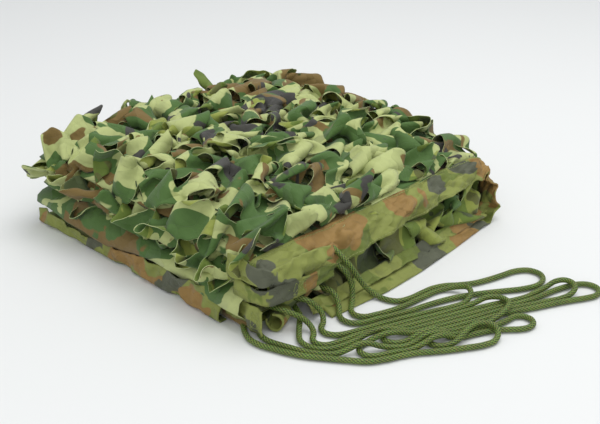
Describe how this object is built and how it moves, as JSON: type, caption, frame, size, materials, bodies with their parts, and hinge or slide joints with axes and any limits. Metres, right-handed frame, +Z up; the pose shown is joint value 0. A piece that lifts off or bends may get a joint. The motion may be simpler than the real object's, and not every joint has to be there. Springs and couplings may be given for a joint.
{
  "type": "camouflage net",
  "caption": "Camouflage net folded into a thick square pack, its slit cloth standing in ruffled leaves, with bound edges, corner tabs and tie cords looped beside it.",
  "frame": {"origin": "on the floor, under the middle of the folded pack", "axes": "+Z up; -Y is the side with the slit cloth hanging over it; +X is the side with the binding tape, and the cords lie beyond it"},
  "size_m": [0.4956, 0.3549, 0.1093],
  "materials": {
    "garnish": "matt printed cloth, woodland camouflage in light green, mid green, brown and dark grey",
    "binding": "matt ribbed tape, woodland camouflage",
    "tab": "matt doubled tape, stitched",
    "cord": "braided olive cord"
  },
  "bodies": {
    "root": {"garnish": "garnish", "side_binding": "binding", "end_binding": "binding", "corner_tab_upper": "tab", "corner_tab_middle": "tab", "corner_tab_lower": "tab", "corner_roll": "tab", "tie_cord_1": "cord", "tie_cord_2": "cord", "tie_cord_3": "cord", "tie_cord_4": "cord"}
  },
  "joints": []
}
